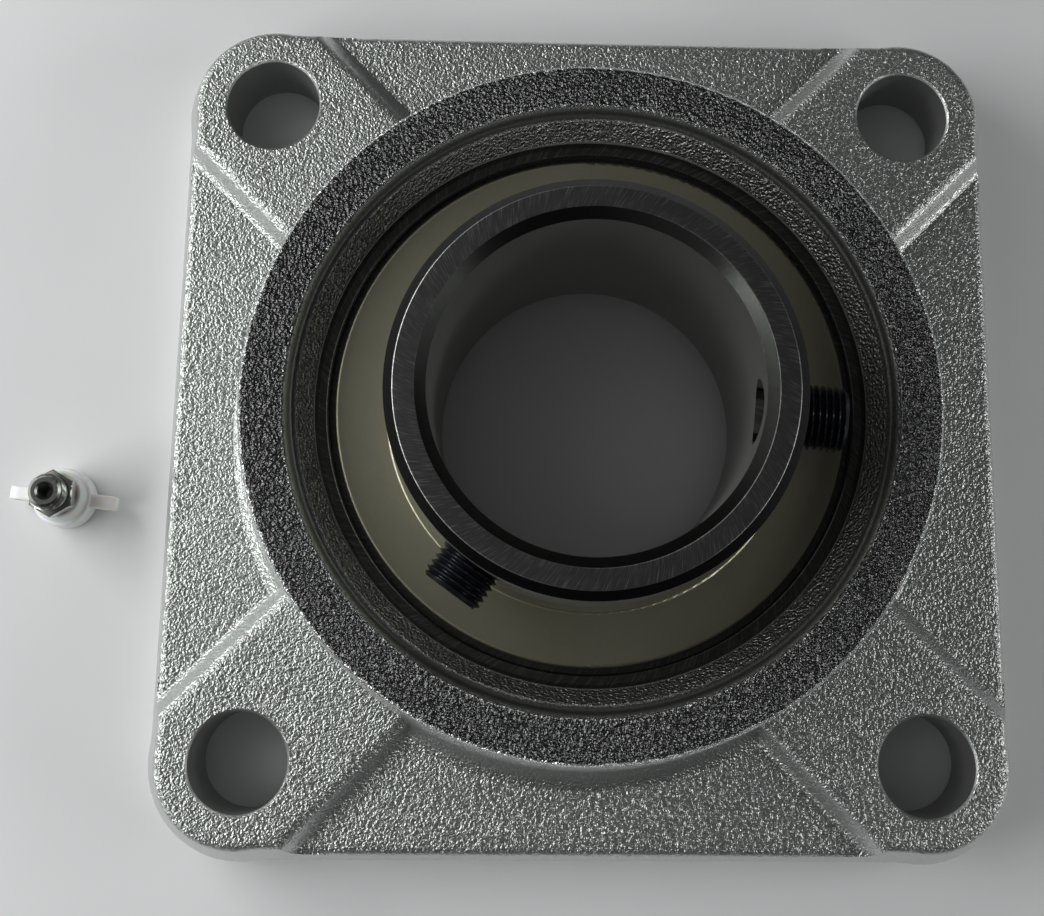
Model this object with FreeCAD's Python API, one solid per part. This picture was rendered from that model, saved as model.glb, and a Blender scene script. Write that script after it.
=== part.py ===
import FreeCAD, Part
import math
import os

# Square four-bolt flange unit for a 50 mm shaft, with a self-aligning ball insert.
# Millimetres. +Z points off the mounting face, which lies at z = 0 round the shaft axis.

# Inner ring
bore_radius = 25.0
inner_wall = 6.2
inner_land_radius = bore_radius + inner_wall
inner_width = 51.6
inner_short_side = 19.0
bore_chamfer = 1.6
face_chamfer = 1.4

# Rolling set
ball_count = 10
ball_radius = 6.35
pitch_radius = inner_land_radius + 3.8
race_clearance = 0.02
race_conformity = 1.04

# Outer ring
outer_race_wall = 3.63
ring_sphere_radius = pitch_radius + ball_radius + race_clearance + outer_race_wall
outer_ring_width = 22.0
outer_land_radius = pitch_radius + 4.0
seal_seat_step = 1.3
seal_seat_radius = outer_land_radius + seal_seat_step
ring_mouth_depth = 1.6
seal_seat_length = 2.0
seal_seat_outer = outer_ring_width / 2 - ring_mouth_depth
seal_seat_inner = seal_seat_outer - seal_seat_length
ring_mouth_step = 1.0
ring_mouth_radius = seal_seat_radius + ring_mouth_step
outer_ring_chamfer = 0.7
ring_mouth_chamfer = 0.3
ring_groove_depth = 0.5
ring_groove_width = 2.4
ring_grease_hole_radius = 0.9

# Housing casting
bolt_spacing = 111.0
lobe_radius = 16.0
flange_side = bolt_spacing + 2 * lobe_radius
bolt_hole_radius = 8.0
pad_height = 16.0
panel_height = 12.5
side_recess = 0.35
side_blend_radius = 14.0
side_draft = math.radians(1.5)
shoulder_height = 8.5
shoulder_lean = math.radians(18.0)
shoulder_round = 3.0
flange_edge_round = 1.5
pad_top_half_width = 14.2
pad_wall_draft = math.radians(31.0)
pad_top_round = 2.2
pad_foot_round = 3.0
foot_sink = 0.3
boss_height = 40.0
mouth_margin = 2.3
mouth_radius = ring_sphere_radius + mouth_margin
boss_land = 7.2
boss_top_radius = mouth_radius + boss_land
boss_draft = math.radians(5.0)
boss_rim_round = 0.9
boss_foot_round = 5.0
mouth_groove_depth = 1.7
mouth_groove_width = 1.5
mouth_lip_gap = 1.0
mouth_flare = 2.3
mouth_rim_chamfer = 0.45
back_lip_height = 10.6
back_mouth_margin = 1.5
back_mouth_radius = ring_sphere_radius + back_mouth_margin
back_mouth_depth = 3.0
hole_edge_chamfer = 0.4

# Spherical seat and its grease supply
seat_centre_height = 22.0
seat_clearance = 0.04
slot_side_clearance = 0.5
slot_depth_clearance = 0.3
grease_offset = 6.3
grease_groove_width = 3.0
grease_groove_depth = 1.0
grease_tap_radius = 2.6
grease_spot_radius = 5.5
grease_spot_depth = 1.0

# Pressed cage
cage_half_width = 2.2
cage_inner_radius = pitch_radius - cage_half_width
cage_outer_radius = pitch_radius + cage_half_width
cage_sheet = 0.9
cage_pocket_clearance = 0.12
rivet_radius = 0.9
rivet_head_radius = 1.6
rivet_head_height = 0.6

# Seals and flingers, measured along the axis from the ball plane
seal_sheet = 0.8
seal_plate_sink = 0.2
seal_plate_outer = seal_seat_outer - seal_plate_sink
seal_plate_gap = 2.4
seal_plate_inner_radius = inner_land_radius + seal_plate_gap
seal_lip_gap = 0.1
seal_lip_tip_drop = 0.65
seal_lip_tip_height = seal_plate_outer - seal_lip_tip_drop
seal_lip_root = 1.0
seal_rubber_thickness = 0.4
flinger_sheet = 0.9
flinger_gap = 0.9
flinger_radius = ring_mouth_radius - flinger_gap
flinger_stand = 0.4
flinger_face_height = outer_ring_width / 2 + flinger_stand
flinger_rim_depth = 1.7
flinger_edge_round = 0.6
flinger_collar_height = 1.2
flinger_collar_wall = 0.8

# Set screws
screw_radius = 4.95
screw_hole_clearance = 0.05
screw_length = 10.0
screw_end_distance = 10.0
screw_socket_flats = 5.0
screw_socket_depth = 4.0
screw_chamfer = 0.7
screw_cup_radius = 2.6
screw_cup_depth = 1.3
right_screw_angle = -5.5
left_screw_angle = -125.5
right_screw_stand = 6.7
left_screw_stand = 5.2

# Loose grease nipple, standing head down in its winged cap
nipple_side_distance = 18.3
nipple_x = -flange_side / 2 - nipple_side_distance
nipple_y = -12.45
cap_radius = 5.0
cap_neck_radius = 4.2
cap_bore_radius = 3.4
cap_floor = 1.0
cap_shoulder_height = 5.0
cap_height = 8.4
wing_span = 18.2
wing_thickness = 2.4
wing_bottom = 1.4
wing_angle = -5.75
nipple_tip_height = 1.6
nipple_seat_gap = 0.2
nipple_hex_flats = 7.0
nipple_hex_height = 3.0
nipple_thread_length = 3.5
nipple_thread_radius = 2.95
nipple_relief_depth = 0.5
nipple_thread_chamfer = 0.7
nipple_head_radius = 3.2
nipple_head_height = 1.9
nipple_head_round = 0.5
nipple_neck_radius = 2.45
nipple_neck_height = 3.6
nipple_face_radius = 1.9
nipple_hex_bevel = 0.54
nipple_end_bevel = 0.3
nipple_bore_radius = 1.25
nipple_mouth_radius = 0.75
nipple_mouth_length = 0.8
nipple_catch_radius = 0.95
nipple_catch_height = 6.0
nipple_catch_length = 0.5
check_ball_radius = 1.1
check_ball_clearance = 0.02
spring_wire_radius = 0.14
spring_gap = 0.04
spring_turns = 4

origin = FreeCAD.Vector(0, 0, 0)
axis_z = FreeCAD.Vector(0, 0, 1)


def corner_points(before, corner, after, radius):
    """Start, middle and end of the arc of that radius that rounds one corner."""
    to_before = (before - corner).normalize()
    to_after = (after - corner).normalize()
    half_angle = to_before.getAngle(to_after) / 2
    tangent_length = radius / math.tan(half_angle)
    bisector = (to_before + to_after).normalize()
    middle = corner + bisector * (radius / math.sin(half_angle) - radius)
    return corner + to_before * tangent_length, middle, corner + to_after * tangent_length


def rounded_wire(corners, place):
    """Closed wire through (u, v, radius) corners, each rounded; place turns (u, v) into a point."""
    points = [place(corner[0], corner[1]) for corner in corners]
    edges = []
    first = None
    last = None
    for index, corner in enumerate(corners):
        radius = corner[2] if len(corner) > 2 else 0.0
        here = points[index]
        start, end = here, here
        arc = None
        if radius > 0:
            following = points[(index + 1) % len(points)]
            start, middle, end = corner_points(points[index - 1], here, following, radius)
            arc = Part.Arc(start, middle, end).toShape()
        if last is None:
            first = start
        elif (start - last).Length > 1e-7:
            edges.append(Part.LineSegment(last, start).toShape())
        if arc is not None:
            edges.append(arc)
        last = end
    if (first - last).Length > 1e-7:
        edges.append(Part.LineSegment(last, first).toShape())
    return Part.Wire(edges)


def lathe(corners, centre_x=0.0, centre_y=0.0):
    """Solid of revolution of (radius, height, rounding) corners about an upright axis."""
    def place(radius, height):
        return FreeCAD.Vector(centre_x + radius, centre_y, height)
    face = Part.Face(rounded_wire(corners, place))
    return face.revolve(FreeCAD.Vector(centre_x, centre_y, 0), axis_z, 360)


def mirrored(corners):
    """The same profile on the other side of the ball plane."""
    return [(corner[0], -corner[1]) + tuple(corner[2:]) for corner in reversed(corners)]


def about_ball_plane(corners):
    """Profile heights measured from the ball plane, lifted to the housing's frame."""
    return [(corner[0], seat_centre_height + corner[1]) + tuple(corner[2:]) for corner in corners]


def quarter_outline(inset, height):
    """One corner lobe, its two hollow blends and the side after it, all drawn in by inset."""
    straight = flange_side / 2 - side_recess
    hole = FreeCAD.Vector(bolt_spacing / 2, bolt_spacing / 2, height)
    outwards = straight + side_blend_radius
    reach = lobe_radius + side_blend_radius
    along = hole.x - math.sqrt(reach ** 2 - (outwards - hole.x) ** 2)
    right = FreeCAD.Vector(outwards, along, height)
    above = FreeCAD.Vector(along, outwards, height)
    start = FreeCAD.Vector(straight - inset, along, height)
    finish = FreeCAD.Vector(along, straight - inset, height)
    following = FreeCAD.Vector(-along, straight - inset, height)
    lobe_share = (lobe_radius - inset) / reach
    right_touch = hole + (right - hole) * lobe_share
    above_touch = hole + (above - hole) * lobe_share
    diagonal = hole + FreeCAD.Vector(1, 1, 0).normalize() * (lobe_radius - inset)
    hollow = side_blend_radius + inset
    right_middle = right + middle_direction(start - right, right_touch - right) * hollow
    above_middle = above + middle_direction(above_touch - above, finish - above) * hollow
    return [Part.Arc(start, right_middle, right_touch).toShape(),
            Part.Arc(right_touch, diagonal, above_touch).toShape(),
            Part.Arc(above_touch, above_middle, finish).toShape(),
            Part.LineSegment(finish, following).toShape()]


def middle_direction(first, second):
    """Direction halfway between two directions."""
    return (FreeCAD.Vector(first).normalize() + FreeCAD.Vector(second).normalize()).normalize()


def flange_outline(inset, height):
    """Closed outline of the flange: four quarters, each turned a right angle further."""
    edges = []
    for quarter in range(4):
        for edge in quarter_outline(inset, height):
            edge.rotate(origin, axis_z, 90 * quarter)
            edges.append(edge)
    return Part.Wire(edges)


def below(shape, height):
    """The part of a shape under that height."""
    return shape.common(Part.makeBox(2 * flange_side, 2 * flange_side, height,
                                     FreeCAD.Vector(-flange_side, -flange_side, 0)))


def edges_at(shape, height):
    """The edges of a shape that lie at that height."""
    return [edge for edge in shape.Edges
            if abs(edge.BoundBox.ZMin - height) < 1e-5 and abs(edge.BoundBox.ZMax - height) < 1e-5]


def leaning_flange(thickness):
    """Flange whose sides are nearly upright up to the shoulder and lean in above it."""
    low_inset = shoulder_height * math.tan(side_draft)
    high_inset = low_inset + (pad_height - shoulder_height) * math.tan(shoulder_lean)
    shoulder = flange_outline(low_inset, shoulder_height)
    upright = Part.makeLoft([flange_outline(0, 0), shoulder], True, True)
    leaning = Part.makeLoft([shoulder, flange_outline(high_inset, pad_height)], True, True)
    return below(upright.fuse(leaning), thickness)


def rounded_flange(thickness):
    """Leaning flange with its shoulder and its top edge rounded."""
    block = leaning_flange(thickness)
    block = block.makeFillet(shoulder_round, edges_at(block, shoulder_height))
    return block.makeFillet(flange_edge_round, edges_at(block, thickness))


def diagonal_bars(half_section, plate):
    """The plate under two crossed bars of that half section: one corner pad at each of their ends."""
    other_half = [(-corner[0],) + corner[1:] for corner in reversed(half_section)]
    reach = flange_side

    def place(across, height):
        return FreeCAD.Vector(-reach, across, height)
    section = Part.Face(rounded_wire(half_section + other_half, place))
    bars = []
    for angle in (45, 135):
        bar = section.extrude(FreeCAD.Vector(2 * reach, 0, 0))
        bar.rotate(origin, axis_z, angle)
        bars.append(plate.common(bar))
    return bars


def make_pads():
    """The corner pads with their sloping walls, and the hollow feet that join them to the panels."""
    base_half_width = pad_top_half_width + pad_height * math.tan(pad_wall_draft)
    pads = diagonal_bars([(base_half_width, 0), (pad_top_half_width, pad_height, pad_top_round)],
                         rounded_flange(pad_height))
    foot_level = panel_height - foot_sink
    foot_half_width = pad_top_half_width + (pad_height - foot_level) * math.tan(pad_wall_draft)
    foot_top = (foot_level + pad_height) / 2
    top_half_width = pad_top_half_width + (pad_height - foot_top) * math.tan(pad_wall_draft)
    skirt_half_width = foot_half_width + pad_foot_round
    feet = diagonal_bars([(skirt_half_width, 0), (skirt_half_width, foot_level),
                          (foot_half_width, foot_level, pad_foot_round), (top_half_width, foot_top)],
                         leaning_flange(pad_height))
    return pads + feet


def make_housing():
    """Flange, four corner pads and boss, with the spherical seat and grease port cut out."""
    foot_level = panel_height - foot_sink
    foot_radius = boss_top_radius + (boss_height - foot_level) * math.tan(boss_draft)
    skirt_radius = foot_radius + boss_foot_round
    boss = lathe([(0, 0), (skirt_radius, 0), (skirt_radius, foot_level),
                  (foot_radius, foot_level, boss_foot_round),
                  (boss_top_radius, boss_height, boss_rim_round), (0, boss_height)])
    body = rounded_flange(panel_height).fuse(make_pads() + [boss])

    body = body.cut([make_cavity(), make_loading_slots(), make_grease_port()])
    for x_sign in (-1, 1):
        for y_sign in (-1, 1):
            body = body.cut(bolt_hole(x_sign * bolt_spacing / 2, y_sign * bolt_spacing / 2))
    return body.removeSplitter()


def bolt_hole(x, y):
    """Through hole with a small chamfer at both faces."""
    wide = bolt_hole_radius + hole_edge_chamfer
    return lathe([(0, -1), (wide, -1), (wide, 0), (bolt_hole_radius, hole_edge_chamfer),
                  (bolt_hole_radius, pad_height - hole_edge_chamfer), (wide, pad_height),
                  (wide, pad_height + 1), (0, pad_height + 1)], x, y)


def make_cavity():
    """Spherical seat, the flared cast mouth in front of it and the opening behind it."""
    seat_radius = ring_sphere_radius + seat_clearance
    seat = Part.makeSphere(seat_radius, FreeCAD.Vector(0, 0, seat_centre_height))
    lip_height = seat_centre_height + outer_ring_width / 2 + mouth_lip_gap
    lip_radius = math.sqrt(seat_radius ** 2 - (lip_height - seat_centre_height) ** 2)
    groove_floor = boss_height - mouth_groove_depth
    groove_radius = mouth_radius - mouth_groove_width
    rim_radius = mouth_radius + mouth_rim_chamfer
    above = boss_height + 1
    front = lathe([(0, lip_height), (lip_radius, lip_height),
                   (lip_radius + mouth_flare, groove_floor, mouth_groove_width / 3),
                   (groove_radius + mouth_groove_width / 2, groove_floor, mouth_groove_width / 2),
                   (mouth_radius, boss_height - mouth_rim_chamfer),
                   (rim_radius, boss_height), (rim_radius, above), (0, above)])
    back_radius = math.sqrt(seat_radius ** 2 - (seat_centre_height - back_lip_height) ** 2)
    back = lathe([(0, -1), (back_mouth_radius, -1), (back_mouth_radius, 0),
                  (back_radius, back_mouth_depth), (back_radius, back_lip_height),
                  (0, back_lip_height)])
    groove_height = seat_centre_height + grease_offset
    groove_wall = seat_radius + grease_groove_depth
    low = groove_height - grease_groove_width / 2
    high = groove_height + grease_groove_width / 2
    groove = lathe([(0, low), (groove_wall, low), (groove_wall, high), (0, high)])
    return seat.fuse([front, back, groove])


def make_loading_slots():
    """Two slots behind the seat through which the insert goes in edgewise."""
    half_width = outer_ring_width / 2 + slot_side_clearance
    reach = ring_sphere_radius + slot_depth_clearance
    block = Part.makeBox(2 * flange_side, 2 * half_width, seat_centre_height + 1,
                         FreeCAD.Vector(-flange_side, -half_width, -1))
    limit = Part.makeCylinder(reach, seat_centre_height + 1, FreeCAD.Vector(0, 0, -1))
    return block.common(limit)


def make_grease_port():
    """Tapping-size hole from the boss wall into the seat's groove, with a flat for the nipple."""
    height = seat_centre_height + grease_offset
    wall_radius = boss_top_radius + (boss_height - height) * math.tan(boss_draft)
    inward = FreeCAD.Vector(1, 0, 0)
    start = FreeCAD.Vector(-wall_radius - 5, 0, height)
    hole = Part.makeCylinder(grease_tap_radius, wall_radius + 5 - ring_sphere_radius, start, inward)
    spot = Part.makeCylinder(grease_spot_radius, 5 + grease_spot_depth, start, inward)
    return hole.fuse(spot)


def make_outer_ring():
    """Ring with a spherical outside, ball groove, seal seats and two grease holes."""
    half = outer_ring_width / 2
    edge_radius = math.sqrt(ring_sphere_radius ** 2 - half ** 2) - outer_ring_chamfer
    upper = [(ring_sphere_radius + 1, 0),
             (ring_sphere_radius + 1, half - outer_ring_chamfer - 1),
             (edge_radius, half), (ring_mouth_radius + ring_mouth_chamfer, half),
             (ring_mouth_radius, half - ring_mouth_chamfer), (ring_mouth_radius, seal_seat_outer),
             (seal_seat_radius, seal_seat_outer), (seal_seat_radius, seal_seat_inner),
             (outer_land_radius, seal_seat_inner), (outer_land_radius, 0)]
    lower = mirrored(upper)[1:-1]
    blank = lathe(about_ball_plane(upper[:-1] + lower))
    sphere = Part.makeSphere(ring_sphere_radius, FreeCAD.Vector(0, 0, seat_centre_height))
    ring = blank.common(sphere)
    groove_section = ball_radius * race_conformity
    groove_centre = pitch_radius + ball_radius + race_clearance - groove_section
    ring = ring.cut(Part.makeTorus(groove_centre, groove_section,
                                   FreeCAD.Vector(0, 0, seat_centre_height)))
    port_height = seat_centre_height + grease_offset
    outside_radius = math.sqrt(ring_sphere_radius ** 2 - grease_offset ** 2)
    low = port_height - ring_groove_width / 2
    high = port_height + ring_groove_width / 2
    floor = outside_radius - ring_groove_depth
    ring = ring.cut(lathe([(floor, low), (outside_radius + 2, low),
                           (outside_radius + 2, high), (floor, high)]))
    across = Part.makeCylinder(ring_grease_hole_radius, 2 * ring_sphere_radius,
                               FreeCAD.Vector(-ring_sphere_radius, 0, port_height),
                               FreeCAD.Vector(1, 0, 0))
    return ring.cut(across)


def inner_ring_bottom():
    """Height of the inner ring's short end."""
    return seat_centre_height - inner_short_side


def screw_height():
    """Height of the set screws' axes."""
    return inner_ring_bottom() + inner_width - screw_end_distance


def radial(angle, distance, height):
    """Point at that distance from the shaft axis."""
    turn = math.radians(angle)
    return FreeCAD.Vector(distance * math.cos(turn), distance * math.sin(turn), height)


def make_inner_ring():
    """Wide inner ring with chamfered ends, ball groove and two radial screw holes."""
    low = inner_ring_bottom()
    high = low + inner_width
    ring = lathe([(bore_radius, low + bore_chamfer), (bore_radius + bore_chamfer, low),
                  (inner_land_radius - bore_chamfer, low), (inner_land_radius, low + bore_chamfer),
                  (inner_land_radius, high - face_chamfer),
                  (inner_land_radius - face_chamfer, high),
                  (bore_radius + bore_chamfer, high), (bore_radius, high - bore_chamfer)])
    groove_section = ball_radius * race_conformity
    groove_centre = pitch_radius - ball_radius - race_clearance + groove_section
    ring = ring.cut(Part.makeTorus(groove_centre, groove_section,
                                   FreeCAD.Vector(0, 0, seat_centre_height)))
    for angle in (right_screw_angle, left_screw_angle):
        start = radial(angle, bore_radius / 2, screw_height())
        hole = Part.makeCylinder(screw_radius + screw_hole_clearance, inner_land_radius, start,
                                 radial(angle, 1, 0))
        ring = ring.cut(hole)
    return ring


def ball_centre(index):
    """Centre of one ball on the pitch circle."""
    return radial(index * 360.0 / ball_count, pitch_radius, seat_centre_height)


def make_cage_half(side):
    """Pressed ribbon: flat webs between half pockets that hug the balls; side is +1 or -1."""
    pocket_radius = ball_radius + cage_pocket_clearance
    shell_radius = pocket_radius + cage_sheet
    low = min(0, side * shell_radius)
    base = seat_centre_height + low
    band = Part.makeCylinder(cage_outer_radius, shell_radius, FreeCAD.Vector(0, 0, base))
    band = band.cut(Part.makeCylinder(cage_inner_radius, shell_radius,
                                      FreeCAD.Vector(0, 0, base)))
    web_base = seat_centre_height + min(0, side * cage_sheet)
    sheet = Part.makeCylinder(cage_outer_radius + 1, cage_sheet, FreeCAD.Vector(0, 0, web_base))
    shells = [Part.makeSphere(shell_radius, ball_centre(index)) for index in range(ball_count)]
    pockets = [Part.makeSphere(pocket_radius, ball_centre(index)) for index in range(ball_count)]
    pressed = band.common(sheet.fuse(shells)).cut(pockets)
    holes = [rivet_shank(index) for index in range(ball_count)]
    return pressed.cut(holes).removeSplitter()


def rivet_place(index):
    """Middle of the web between two balls, at the cage's mid radius."""
    angle = (index + 0.5) * 360.0 / ball_count
    return radial(angle, (cage_inner_radius + cage_outer_radius) / 2, seat_centre_height)


def rivet_shank(index):
    """Shank through both sheets."""
    start = rivet_place(index) - axis_z * cage_sheet
    return Part.makeCylinder(rivet_radius, 2 * cage_sheet, start)


def make_rivet(index):
    """Shank with a low rounded head on each side of the cage."""
    place = rivet_place(index)
    grip = cage_sheet
    top = cage_sheet + rivet_head_height
    crown = rivet_head_height / 2
    half = [(0, top), (rivet_head_radius, top, crown), (rivet_head_radius, grip),
            (rivet_radius, grip)]
    profile = list(reversed(half)) + [(0, -top), (rivet_head_radius, -top, crown),
                                      (rivet_head_radius, -grip), (rivet_radius, -grip)]
    return lathe(about_ball_plane(profile), place.x, place.y)


def sided(corners, side):
    """A sealing part's profile for the front (+1) or back (-1) of the ball plane."""
    return about_ball_plane(corners if side > 0 else mirrored(corners))


def make_seal_shell(side):
    """Steel cup pressed into the outer ring, which stiffens the rubber."""
    inside = seal_plate_outer - seal_sheet
    return lathe(sided([(seal_seat_radius, seal_seat_inner), (seal_seat_radius, seal_plate_outer),
                        (seal_plate_inner_radius, seal_plate_outer),
                        (seal_plate_inner_radius, inside),
                        (seal_seat_radius - seal_sheet, inside),
                        (seal_seat_radius - seal_sheet, seal_seat_inner)], side))


def make_seal_lip(side):
    """Rubber bonded under the cup, with a lip that points at the inner ring."""
    inside = seal_plate_outer - seal_sheet
    tip_radius = inner_land_radius + seal_lip_gap
    root = seal_plate_inner_radius
    return lathe(sided([(seal_seat_radius - seal_sheet, inside), (root, inside),
                        (root, seal_plate_outer), (root - seal_lip_root, seal_plate_outer),
                        (tip_radius, seal_lip_tip_height), (root - seal_lip_root, inside),
                        (root - seal_lip_root, inside - seal_rubber_thickness),
                        (seal_seat_radius - seal_sheet, inside - seal_rubber_thickness)], side))


def make_flinger(side):
    """Pressed disc on the inner ring: collar inside, rim turned towards the balls outside."""
    inside = flinger_face_height - flinger_sheet
    rim_inner = flinger_radius - flinger_sheet
    rim_end = flinger_face_height - flinger_rim_depth
    collar_top = flinger_face_height + flinger_collar_height
    collar_radius = inner_land_radius + flinger_collar_wall
    return lathe(sided([(inner_land_radius, inside), (rim_inner, inside), (rim_inner, rim_end),
                        (flinger_radius, rim_end),
                        (flinger_radius, flinger_face_height, flinger_edge_round),
                        (collar_radius, flinger_face_height, flinger_collar_wall / 2),
                        (collar_radius, collar_top), (inner_land_radius, collar_top)], side))


def hexagon(across_flats, height):
    """Hexagonal face about the axis, with two of its corners on Y."""
    corner_radius = across_flats / math.sqrt(3)
    points = [radial(90 + 60 * step, corner_radius, height) for step in range(7)]
    return Part.Face(Part.makePolygon(points))


def make_set_screw(angle, stand):
    """Headless screw along a radius: hexagon socket outside, cup point inside."""
    screw = lathe([(0, 0), (screw_radius - screw_chamfer, 0), (screw_radius, screw_chamfer),
                   (screw_radius, screw_length - screw_chamfer),
                   (screw_radius - screw_chamfer, screw_length), (screw_cup_radius, screw_length),
                   (0, screw_length - screw_cup_depth)])
    socket = hexagon(screw_socket_flats, 0).extrude(axis_z * screw_socket_depth)
    screw = screw.cut(socket)
    screw.rotate(origin, FreeCAD.Vector(0, 1, 0), -90)
    screw.translate(FreeCAD.Vector(inner_land_radius + stand, 0, screw_height()))
    screw.rotate(origin, axis_z, angle)
    return screw


def at_nipple(shape):
    """Moves a shape made round the shaft axis to the loose nipple's place."""
    shape.translate(FreeCAD.Vector(nipple_x, nipple_y, 0))
    return shape


def make_nipple_cap():
    """Soft cap with a closed floor, a narrower neck and two flat wings."""
    cup = lathe([(0, 0), (cap_radius, 0, 0.5), (cap_radius, cap_shoulder_height, 0.6),
                 (cap_neck_radius, cap_shoulder_height, 0.3), (cap_neck_radius, cap_height, 0.2),
                 (cap_bore_radius, cap_height, 0.2), (cap_bore_radius, cap_floor),
                 (0, cap_floor)])
    wings = Part.makeBox(wing_span, wing_thickness, cap_shoulder_height - wing_bottom - 0.4,
                         FreeCAD.Vector(-wing_span / 2, -wing_thickness / 2, wing_bottom))
    upright = [edge for edge in wings.Edges if edge.Length > cap_floor
               and abs(edge.BoundBox.XLength) < 1e-6 and abs(edge.BoundBox.YLength) < 1e-6]
    wings = wings.makeFillet(wing_thickness / 4, upright)
    core = Part.makeCylinder((cap_radius + cap_bore_radius) / 2, cap_height)
    wings = wings.cut(core)
    wings.rotate(origin, axis_z, wing_angle)
    return at_nipple(cup.fuse(wings).removeSplitter())


def nipple_levels():
    """Heights of the hexagon's foot, the shoulder under the thread and the thread's end."""
    foot = cap_height + nipple_seat_gap
    shoulder = foot + nipple_hex_height
    return foot, shoulder, shoulder + nipple_thread_length


def valve_levels():
    """Heights where the bore narrows to the mouth, of the check ball's centre and of the catch."""
    throat = nipple_tip_height + nipple_mouth_length
    slope = nipple_bore_radius - nipple_mouth_radius
    seat_distance = check_ball_radius + check_ball_clearance
    centre = throat + seat_distance * math.sqrt(2) - nipple_mouth_radius
    return throat, throat + slope, centre, nipple_tip_height + nipple_catch_height


def make_nipple_body():
    """Ball head, hexagon and thread round a bore with a seat and a catch for the spring."""
    foot, shoulder, end = nipple_levels()
    throat, throat_top, _, catch = valve_levels()
    relief = nipple_thread_radius - nipple_relief_depth
    outside = [(nipple_face_radius, nipple_tip_height),
               (nipple_head_radius, nipple_tip_height + nipple_head_height, nipple_head_round),
               (nipple_neck_radius, nipple_tip_height + nipple_neck_height, nipple_head_round),
               (nipple_neck_radius, foot - nipple_hex_bevel), (nipple_head_radius, foot),
               (nipple_head_radius, shoulder - nipple_hex_bevel),
               (relief, shoulder - nipple_hex_bevel), (relief, shoulder + nipple_relief_depth),
               (nipple_thread_radius, shoulder + 2 * nipple_relief_depth),
               (nipple_thread_radius, end - nipple_thread_chamfer),
               (nipple_thread_radius - nipple_thread_chamfer, end)]
    inside = [(nipple_bore_radius + nipple_end_bevel, end),
              (nipple_bore_radius, end - nipple_end_bevel),
              (nipple_bore_radius, catch + nipple_catch_length),
              (nipple_catch_radius, catch + nipple_catch_length),
              (nipple_catch_radius, catch), (nipple_bore_radius, catch),
              (nipple_bore_radius, throat_top), (nipple_mouth_radius, throat),
              (nipple_mouth_radius, nipple_tip_height)]
    stem = lathe(outside + inside)
    block = hexagon(nipple_hex_flats, foot).extrude(axis_z * nipple_hex_height)
    widest = nipple_hex_flats / math.sqrt(3)
    turned = lathe([(0, foot), (widest - 2 * nipple_hex_bevel, foot),
                    (widest, foot + nipple_hex_bevel), (widest, shoulder - nipple_hex_bevel),
                    (widest - 2 * nipple_hex_bevel, shoulder), (0, shoulder)])
    clear = Part.makeCylinder((nipple_bore_radius + relief) / 2, nipple_hex_height,
                              FreeCAD.Vector(0, 0, foot))
    return at_nipple(stem.fuse(block.common(turned).cut(clear)).removeSplitter())


def make_check_ball():
    """Ball that closes the nipple's mouth."""
    centre = valve_levels()[2]
    return at_nipple(Part.makeSphere(check_ball_radius, FreeCAD.Vector(0, 0, centre)))


def make_nipple_spring():
    """Coil spring between the check ball and the catch."""
    _, _, centre, catch = valve_levels()
    coil_radius = nipple_bore_radius - spring_wire_radius - spring_gap
    touch_radius = check_ball_radius + spring_wire_radius
    low = centre + math.sqrt(touch_radius ** 2 - coil_radius ** 2) + spring_gap
    high = catch - spring_wire_radius - spring_gap
    path = Part.makeHelix((high - low) / spring_turns, high - low, coil_radius)
    section = Part.makeCircle(spring_wire_radius, FreeCAD.Vector(coil_radius, 0, 0),
                              FreeCAD.Vector(0, 1, 0))
    coil = Part.Wire(path.Edges).makePipeShell([Part.Wire([section])], True, True)
    coil.translate(FreeCAD.Vector(0, 0, low))
    return at_nipple(coil)


def all_parts():
    """Every sub-part by its name."""
    parts = {
        "housing": make_housing(),
        "outer_ring": make_outer_ring(),
        "inner_ring": make_inner_ring(),
        "cage_front_half": make_cage_half(1),
        "cage_back_half": make_cage_half(-1),
        "cage_rivets": Part.makeCompound([make_rivet(index) for index in range(ball_count)]),
        "nipple_cap": make_nipple_cap(),
        "nipple_body": make_nipple_body(),
        "nipple_check_ball": make_check_ball(),
        "nipple_spring": make_nipple_spring(),
        "set_screw_right": make_set_screw(right_screw_angle, right_screw_stand),
        "set_screw_left": make_set_screw(left_screw_angle, left_screw_stand),
    }
    for index in range(ball_count):
        name = "ball_%02d" % (index + 1)
        parts[name] = Part.makeSphere(ball_radius, ball_centre(index))
    for face, side in (("front", 1), ("back", -1)):
        parts[face + "_seal_shell"] = make_seal_shell(side)
        parts[face + "_seal_lip"] = make_seal_lip(side)
        parts[face + "_flinger"] = make_flinger(side)
    return parts


os.makedirs("parts", exist_ok=True)
for name, shape in all_parts().items():
    shape.exportStep("parts/" + name + ".step")
    print(name, len(shape.Solids), "solid(s)", round(shape.Volume / 1000, 3), "cm3", shape.isValid())
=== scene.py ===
# %% [markdown]
# # Four-bolt flange bearing
#
# A square iron casting with a bolt hole in each corner holds a ball bearing insert whose wide
# inner ring grips a shaft with two set screws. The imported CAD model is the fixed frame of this
# scene: it gives every piece its true size and place, in metres, and it moves with the joints.
# What is left to do here is the finish of each surface, the threads, the floor, the light and
# the camera.

# %% Load the frame
import math

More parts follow.
